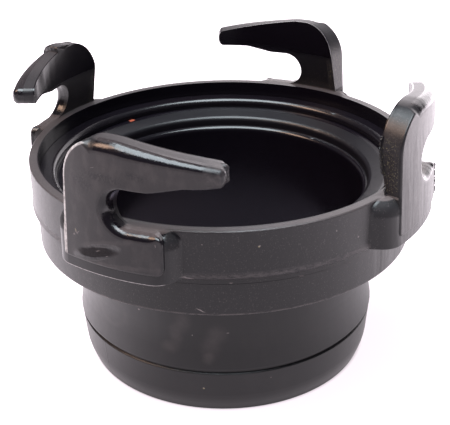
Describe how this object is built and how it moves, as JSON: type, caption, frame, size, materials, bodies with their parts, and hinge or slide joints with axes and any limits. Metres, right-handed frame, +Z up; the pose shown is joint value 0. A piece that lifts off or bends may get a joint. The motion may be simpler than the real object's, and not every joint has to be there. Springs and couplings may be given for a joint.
{
  "type": "sewer hose connector",
  "caption": "Straight sewer hose connector: barbed hose spigot below a wide collar with a rubber face seal and bayonet hooks that all point one way round.",
  "frame": {"origin": "centre of the spigot's bottom end, on the drain's axis", "axes": "+Z up along the drain's axis towards the hooks; the hooks' roots are at 60, 150, 240 and 330 degrees from +X, and their fingers run counter-clockwise seen from above"},
  "size_m": [0.1058, 0.1058, 0.0759],
  "materials": {
    "black_plastic": "satin injection-moulded black plastic, scuffed",
    "seal_rubber": "smooth black rubber"
  },
  "bodies": {
    "root": {"bayonet_body": "black_plastic", "sealing_ring": "seal_rubber"}
  },
  "joints": []
}
